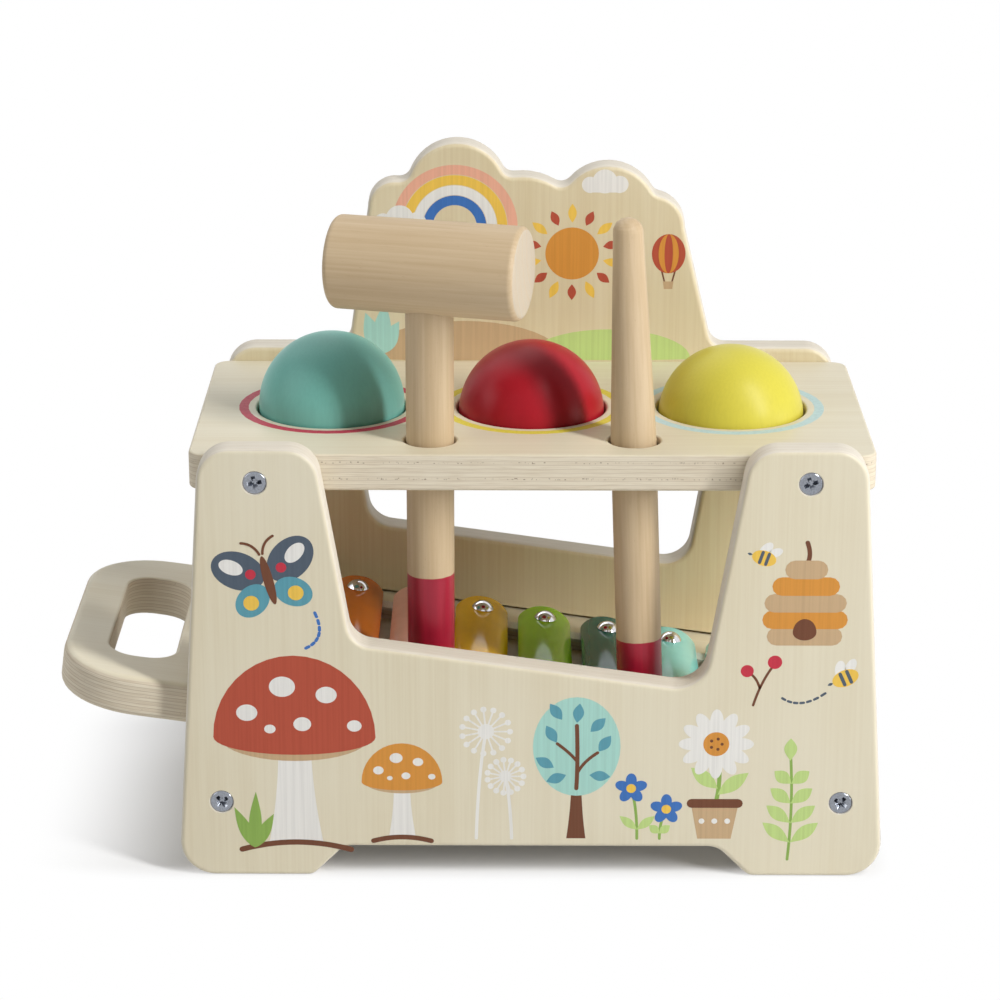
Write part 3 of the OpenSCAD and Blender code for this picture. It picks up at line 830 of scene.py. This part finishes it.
def stroke(points, width):
    """Outline of a pen line with round ends."""
    def heading(i):
        (ax, az), (bx, bz) = points[max(i - 1, 0)], points[min(i + 1, len(points) - 1)]
        return math.atan2(bz - az, bx - ax)

    def beside(i, turn):
        a = heading(i) + math.radians(turn)
        return (points[i][0] + width/2*math.cos(a), points[i][1] + width/2*math.sin(a))

    last = len(points) - 1
    there = [beside(i, 90) for i in range(last + 1)]
    tip = [beside(last, turn) for turn in CAP_TURNS]
    back = [beside(i, -90) for i in range(last, -1, -1)]
    tail = [beside(0, turn - 180) for turn in CAP_TURNS]
    return there + tip + back + tail


def dashes(points, width):
    """Outlines of a dashed pen line: every other stretch of the points."""
    return [stroke([a, b], width) for a, b in zip(points[::2], points[1::2])]


class Print:
    """
    Flat shapes of ink on a face. Shapes of one motif lie on each other in the order in which they are
    added.
    """

    def __init__(self, name, origin, right, up, out):
        self.name = name
        self.origin, self.right, self.up, self.out = origin, right, up, out
        self.shapes = {}
        self.at(0, 0)

    def at(self, x, z, turn=0, size=1, level=0):
        """Starts a motif above a level: millimetres from the origin, turn in degrees, and scale."""
        self.place = (x, z, *polar(size, turn))
        self.level = level
        return self

    def add(self, color, *outlines):
        """Adds outlines of one colour that don't overlap; a pair of loops of as many points is a ring."""
        self.level += 1
        self.shapes.setdefault(color, []).extend((self.place, self.level, outline) for outline in outlines)

    def loops(self, bm, place, level, outline):
        """Vertices of an outline at the ink's surface and at its root."""
        x, z, c, s = place
        spots = [(x + u*c - v*s, z + u*s + v*c) for u, v in outline]
        flat = [self.origin + (self.right*u + self.up*v)*MM for u, v in spots]
        return [[bm.verts.new(p + self.out*height) for p in flat] for height in (level*INK_STEP, -INK_ROOT)]

    def make(self, body):
        """Makes one piece of each colour."""
        for color, shapes in self.shapes.items():
            bm = bmesh.new()
            for place, level, outline in shapes:
                if isinstance(outline, tuple):
                    outer, inner = (self.loops(bm, place, level, loop) for loop in outline)
                    for a, b in ((outer[0], outer[1]), (inner[0], inner[1]), *zip(outer, inner)):
                        wall(bm, a, b)
                else:
                    surface, root = self.loops(bm, place, level, outline)
                    wall(bm, surface, root)
                    bm.faces.new(surface)
                    bm.faces.new(root)
            bmesh.ops.recalc_face_normals(bm, faces=bm.faces)
            piece = new_piece(f"{self.name}_{color}", bm, body)
            dress(piece, ink_materials[color])


def butterfly(p):
    """A butterfly from above, its spotted wings spread."""
    for side in (-1, 1):
        p.add("slate", ellipse(side*8.2, 4.6, 8.4, 6.0, side*35))
        p.add("turquoise", ellipse(side*6.4, -5.8, 6.0, 4.6, -side*35))
        p.add("white", ellipse(side*10.0, 6.2, 3.8, 2.3, side*35))
        p.add("crimson", ellipse(side*4.8, 2.6, 1.6))
        p.add("yellow", ellipse(side*7.0, -6.4, 2.4))
    feelers = [bow((side*0.5, 8.2), (side*1.5, 12.0), (side*5.0, 13.0)) for side in (-1, 1)]
    p.add("brown", ellipse(0, -0.5, 1.5, 8.0), *(stroke(feeler, 0.8) for feeler in feelers))


# Spots of a toadstool's cap: place and radius as shares of its half width and rise
CAP_SPOT_SHARES = [(-0.58, 0.30, 0.13), (-0.14, 0.62, 0.16), (0.40, 0.52, 0.13), (0.10, 0.16, 0.11),
                   (0.74, 0.14, 0.09), (-0.30, 0.10, 0.07)]


def toadstool(p, cap, height, half, rise):
    """A toadstool that stands on its place: height of the stem, half width and rise of the cap."""
    sag = rise*0.22
    p.add("white", column(half*0.34, half*0.20, height))
    p.add("tan", dome(0, height, half*0.92, sag, sag*1.35))
    p.add(cap, dome(0, height, half, rise, sag))
    p.add("white", *(ellipse(x*half, height + z*rise, r*half, r*half*0.84) for x, z, r in CAP_SPOT_SHARES))


def tuft(p, color, blades):
    """Blades of grass: length, width and aim of each."""
    for length, width, aim in blades:
        p.add(color, leaf(0, 0, length, width, aim, 0.8))


SEEDS = 15


def dandelion(p, height, radius, lean):
    """A dandelion clock in white."""
    p.add("white", stroke(bow((0, 0), (lean*0.2, height*0.6), (lean, height)), 1.0))
    spokes = [(math.cos(a), math.sin(a)) for a in turns(SEEDS)]
    hubs, rims = ([(lean + reach*c, height + reach*s) for c, s in spokes] for reach in (0.3*radius, radius))
    p.add("white", *(stroke(spoke, 0.55) for spoke in zip(hubs, rims)))
    p.add("white", *(ellipse(*rim, 0.95) for rim in rims))
    p.add("white", ellipse(lean, height, 0.34*radius))


# Leaves of the tree: place in millimetres and aim in degrees
TREE_LEAVES = [
    (6.8, 29.4, 35), (-6.2, 32.4, -30), (0, 39, 8), (4.2, 36, 45),
    (-4.6, 40, -35), (-7.0, 24, -60), (4.0, 21.5, 95), (-3.2, 21.5, -110),
]


def round_tree(p):
    """A tree with a round crown, two boughs and single leaves."""
    p.add("brown", column(3.0, 1.5, 22))
    p.add("mint", ellipse(0, 31, 13.5, 16.5))
    p.add("brown", stroke(bow((0, 17), (0.5, 26), (0, 38)), 1.3))
    boughs = [bow((0.2, 22), (2, 26), (6.5, 29)), bow((0.2, 26), (-2, 29), (-6, 32))]
    p.add("brown", *(stroke(bough, 1.0) for bough in boughs))
    p.add("turquoise", *(leaf(x, z, 6.5, 3.4, aim) for x, z, aim in TREE_LEAVES))


def starflower(p, color, height, lean):
    """A small flower of five petals on a bent stem with two leaves."""
    p.add("moss", stroke(bow((0, 0), (0, height*0.6), (lean, height)), 0.9))
    p.add("lime", *(leaf(0, height*0.18, height*0.42, 2.8, aim) for aim in (50, -50)))
    for aim in range(18, 360, 72):
        x, z = polar(2.7, aim)
        p.add(color, ellipse(lean + x, height + z, 2.4, 1.7, aim))
    p.add("yellow", ellipse(lean, height, 1.5))


def potted_daisy(p):
    """A daisy in a spotted pot: two leaves, two rows of petals and a dotted middle."""
    rim, bloom = 12, 32
    p.add("moss", stroke(bow((0, 11), (2.5, 21), (0, bloom)), 1.3))
    p.add("lime", leaf(0.8, 15, 12, 4.6, 52), leaf(0.8, 17, 11, 4.6, -50))
    p.add("tan", [(-7.4, rim), (-5.2, 0), (5.2, 0), (7.4, rim)])
    p.add("brown", stroke([(-7.2, rim), (7.2, rim)], 3.0))
    p.add("white", *(ellipse(x, 6, 0.9) for x in (-4, 0, 4)))
    for first in (0, 30):
        petals = [(*polar(7.2, aim), aim) for aim in range(first, 360, 60)]
        p.add("white", *(ellipse(x, bloom + z, 4.4, 2.1, aim) for x, z, aim in petals))
    p.add("ochre", ellipse(0, bloom, 4.0))
    dots = [polar(1.8, aim) for aim in range(0, 360, 72)]
    p.add("brown", *(ellipse(x, bloom + z, 0.5) for x, z in dots))


HIVE_WIDTHS = (23, 26, 25, 20.5, 13)
HIVE_BAND, HIVE_LAP = 6.0, 0.6


def beehive(p):
    """A straw hive that hangs from a cord, with its door near the foot."""
    p.add("brown", stroke(bow((0, 26), (1.5, 29), (0, 33)), 1.4))
    for number, width in enumerate(HIVE_WIDTHS):
        z = (number + 0.5)*(HIVE_BAND - HIVE_LAP)
        half = width/2 - HIVE_BAND/2
        p.add("ochre" if number % 2 else "tan", stroke([(-half, z), (half, z)], HIVE_BAND))
    p.add("brown", dome(0, 4.0, 3.6, 4.4, 2.6))


def bee(p):
    """A bee in flight, its sting to the left."""
    p.add("white", ellipse(-0.4, 3.2, 3.0, 1.7, 65), ellipse(3.0, 3.0, 2.6, 1.5, 40))
    p.add("yellow", ellipse(0, 0, 4.2, 2.7))
    p.add("slate", *(stroke([(x, -1.9), (x, 1.9)], 1.1) for x in (-1.0, 1.2)))
    p.add("slate", leaf(-4.1, 0, 1.8, 0.9, -90))


def sprig(p, leaf_color, stem_color, height, pairs):
    """A straight sprig with pairs of leaves that grow shorter upwards."""
    p.add(stem_color, stroke(bow((0, 0), (1.5, height*0.5), (0, height)), 0.9))
    for i in range(pairs):
        z = height*(0.16 + 0.74*i/pairs)
        length = 11 - 5.5*i/pairs
        p.add(leaf_color, *(leaf(0.6, z, length, 4.2, aim, 1.1) for aim in (52, -52)))
    p.add(leaf_color, leaf(0, height*0.93, 7.5, 4.0, 0, 1.1))


def berries(p):
    """Two berries on a forked stalk."""
    stalks = [bow((0, 0), (0.5, 8), (3, 14)), bow((0.6, 6), (-1, 9), (-3.4, 10))]
    p.add("brown", *(stroke(stalk, 0.8) for stalk in stalks))
    p.add("crimson", ellipse(3.2, 15.2, 2.2), ellipse(-4.4, 10.6, 2.0))


def rainbow(p):
    """A rainbow of four bands about its middle."""
    for radius, color in ((19, "salmon"), (15.6, "yellow"), (12.2, "white"), (8.8, "blue")):
        p.add(color, stroke(arch(0, 0, radius), 3.2))


def cloud(p):
    """A cloud of three rounds on a flat foot."""
    for x, z, r in ((-6, 2.6, 3.4), (0, 4.0, 5.0), (6, 2.8, 3.6)):
        p.add("white", ellipse(x, z, r))
    p.add("white", stroke([(-6.5, 1.2), (6.5, 1.2)], 3.6))


SUN_RAYS = 14


def sun(p):
    """A sun with rays of two colours and lengths in turn."""
    for i in range(SUN_RAYS):
        aim = 360*i/SUN_RAYS
        z, x = polar(10.4, aim)
        p.level = 0
        p.add("rust" if i % 2 else "yellow", leaf(x, z, 6.4 - i % 2, 2.8, aim))
    p.add("ochre", ellipse(0, 0, 8.8))


def balloon(p):
    """A striped hot air balloon with its basket."""
    p.add("brown", *(stroke([(side*2.6, -5.5), (side*1.3, -10.5)], 0.6) for side in (-1, 1)))
    for color, half in (("rust", 6.0), ("ochre", 3.6), ("rust", 1.5)):
        p.add(color, ellipse(0, 0, half, 7.2))
    p.add("tan", [(-1.9, -10.2), (-1.5, -13), (1.5, -13), (1.9, -10.2)])


# The three prints: places in millimetres from the bench's middle and, on the panels, from the floor
front_print = Print("front_print", Vector((bench_x, front_low.y + INK_ROOM, 0)), X, Z, -Y)
butterfly(front_print.at(-80, 99, turn=14))
front_print.at(0, 0).add("blue", *dashes(bow((-66, 88), (-62, 79), (-70, 76)), 1.0))
toadstool(front_print.at(-73, 11), "rust", 36, 25, 27)
front_print.at(-73, 9, level=4).add("brown", stroke(bow((-17, 0), (0, 5), (17, 0)), 1.8))
tuft(front_print.at(-86, 9.6, level=5), "moss", ((15, 4, -24), (19, 4, 2), (13, 4, 28)))
toadstool(front_print.at(-40, 13), "ochre", 19, 12.5, 13)
front_print.at(-40, 12, level=4).add("brown", stroke(bow((-9, 0), (0, 2.6), (9, 0)), 1.6))
dandelion(front_print.at(-17, 13), 36, 7.4, 3)
dandelion(front_print.at(-6, 13), 21, 5.6, -2)
round_tree(front_print.at(14, 13))
starflower(front_print.at(33, 13), "blue", 17, -2)
starflower(front_print.at(40, 13), "blue", 10, 2)
potted_daisy(front_print.at(57, 13))
sprig(front_print.at(80, 6), "lime", "moss", 36, 4)
berries(front_print.at(68, 58, turn=-12))
beehive(front_print.at(83, 78))
bee(front_print.at(96, 67, turn=24))
front_print.at(0, 0).add("slate", *dashes(bow((90, 62), (82, 56), (76, 61)), 0.8))
bee(front_print.at(70, 106, turn=-18, size=0.9))
front_print.make("bench")

crest_print = Print("crest_print", Vector((bench_x, back_low.y, 0)), X, Z, -Y)
crest_print.at(-22, 136).add("tan", dome(0, 0, 33, 13, 0.6))
crest_print.at(26, 136.2, level=1).add("lime", dome(0, 0, 27, 10, 0.6))
rainbow(crest_print.at(-25, 181))
cloud(crest_print.at(-43, 180, size=0.9, level=4))
sun(crest_print.at(13.5, 172))
balloon(crest_print.at(45.2, 172, size=0.92))
cloud(crest_print.at(24, 193, size=0.8))
tuft(crest_print.at(-50, 137.5, level=2), "mint", ((15, 6, -18), (18, 6, 6), (13, 6, 30)))
crest_print.make("bench")

plate_print = Print("plate_print", Vector((bench_x, 0, plate_high.z)), X, Y, Z)
for ball, color in (("teal", "ring_red"), ("red", "ring_yellow"), ("yellow", "ring_blue")):
    ball_low, ball_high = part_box(f"ball_{ball}")
    ball_x = ((ball_low.x + ball_high.x)/2 - bench_x)/MM
    plate_print.at(ball_x, 0).add(color, (ellipse(0, 0, RING_OUTER), ellipse(0, 0, RING_INNER)))
plate_print.make("bench")


# Stage: floor, light and camera

# Paper of the floor: colour, glow, width of its fade to white, inset of the fade from the footprint of the
# bench, and the share that a distance counts on the sides where the shadow falls
PAPER = 0.84
PAPER_GLOW = 0.06
PAPER_FADE = 14*MM
FOOT_INSET = 9*MM
SHADE_SHARE = 0.23
FLOOR_HALF = 4.0


def floor_material():
    """White paper that keeps the object's shadow and turns plain white away from it."""
    material = bpy.data.materials.new("paper")
    material.use_nodes = True
    net = Nodes(material.node_tree)
    net.tree.nodes.clear()
    paper = net.add("ShaderNodeBsdfDiffuse")
    paper.inputs["Color"].default_value = (PAPER, PAPER, PAPER, 1)
    glow = net.add("ShaderNodeEmission")
    glow.inputs["Strength"].default_value = PAPER_GLOW
    lit = net.joined(net.add("ShaderNodeAddShader"), paper.outputs[0], glow.outputs[0])
    white = net.add("ShaderNodeEmission")

    # Distance from the bench's inset footprint, measured short on the sides where its shadow falls
    place = net.add("ShaderNodeTexCoord").outputs["Object"]
    low = (front_low.x + FOOT_INSET, front_low.y + FOOT_INSET, 0)
    high = (front_high.x - FOOT_INSET, back_high.y - FOOT_INSET, 0)
    past_high, past_low = net.vector_math("SUBTRACT", place, high), net.vector_math("SUBTRACT", low, place)
    right_or_back = net.vector_math("MULTIPLY", past_high, (1, SHADE_SHARE, 1))
    left_or_front = net.vector_math("MULTIPLY", past_low, (SHADE_SHARE, 1, 1))
    beyond = net.vector_math("MAXIMUM", net.vector_math("MAXIMUM", right_or_back, left_or_front))
    whiteness = net.ramp(net.vector_math("LENGTH", beyond), 0, PAPER_FADE)
    shown = net.mix_shaders(whiteness, lit.outputs[0], white.outputs[0])
    surface = net.mix_shaders(net.seen_ray(), paper.outputs[0], shown)
    net.link(surface, net.add("ShaderNodeOutputMaterial").inputs["Surface"])
    return material


floor_mesh = bpy.data.meshes.new("floor")
corners = [(x*FLOOR_HALF, y*FLOOR_HALF, 0) for x, y in ((-1, -1), (1, -1), (1, 1), (-1, 1))]
floor_mesh.from_pydata(corners, [], [(0, 1, 2, 3)])
floor = new_object("floor", floor_mesh)
floor.data.materials.append(floor_material())


# Point at which the lamps look
LAMP_AIM = Vector((bench_x, 0, 0.1))


def softbox(name, right_of_front, elevation, distance, size, power):
    """A rectangular lamp round the bench, its direction in degrees, that looks at the bench."""
    data = bpy.data.lights.new(name, "AREA")
    data.shape = "RECTANGLE"
    data.size, data.size_y = size
    data.energy = power
    a, e = math.radians(right_of_front), math.radians(elevation)
    aim = Vector((math.sin(a)*math.cos(e), -math.cos(a)*math.cos(e), math.sin(e)))
    lamp = new_object(name, data)
    lamp.location = LAMP_AIM + aim*distance
    lamp.rotation_euler = aim.to_track_quat("Z", "Y").to_euler()


# Lamps: degrees to the right of the front, elevation, distance and size in metres, power in watts
softbox("key_light", 52, 37, 1.4, (0.17, 1.2), 20)
softbox("left_light", -72, 32, 1.6, (1.2, 1.2), 7)
softbox("rear_light", -150, 55, 1.6, (1.4, 1.4), 7)
softbox("low_right_light", 80, 1, 1.6, (0.8, 0.25), 4)

# Sky: a dim light, white where it is seen
WORLD_LIGHT = 0.045
WHITE = (1, 1, 1, 1)
world = bpy.data.worlds.new("studio")
world.use_nodes = True
sky_net = Nodes(world.node_tree)
sky = sky_net.tree.nodes["Background"]
sky.inputs["Color"].default_value = WHITE
sky.inputs["Strength"].default_value = WORLD_LIGHT
white_sky = sky_net.add("ShaderNodeBackground")
white_sky.inputs["Color"].default_value = WHITE
shown_sky = sky_net.mix_shaders(sky_net.seen_ray(), sky.outputs[0], white_sky.outputs[0])
sky_net.link(shown_sky, sky_net.tree.nodes["World Output"].inputs["Surface"])
scene.world = world

# Camera
forward = Vector((math.sin(CAMERA_YAW)*math.cos(CAMERA_PITCH),
                  math.cos(CAMERA_YAW)*math.cos(CAMERA_PITCH), -math.sin(CAMERA_PITCH)))
level = Vector((math.cos(CAMERA_YAW), -math.sin(CAMERA_YAW), 0))
upward = level.cross(forward)
right = level*math.cos(CAMERA_ROLL) + upward*math.sin(CAMERA_ROLL)
up = upward*math.cos(CAMERA_ROLL) - level*math.sin(CAMERA_ROLL)
camera_data = bpy.data.cameras.new("camera")
camera_data.sensor_width = SENSOR
camera_data.sensor_fit = "HORIZONTAL"
camera_data.lens = CAMERA_FOCAL_PIXELS/PHOTO_SIDE*SENSOR
camera_data.clip_end = 20
camera = new_object("camera", camera_data)
turn = Matrix((right, up, -forward)).transposed().to_4x4()
camera.matrix_world = Matrix.Translation(CAMERA_PLACE + Vector((bench_x, 0, 0))) @ turn
scene.camera = camera

scene.view_settings.view_transform = "Standard"
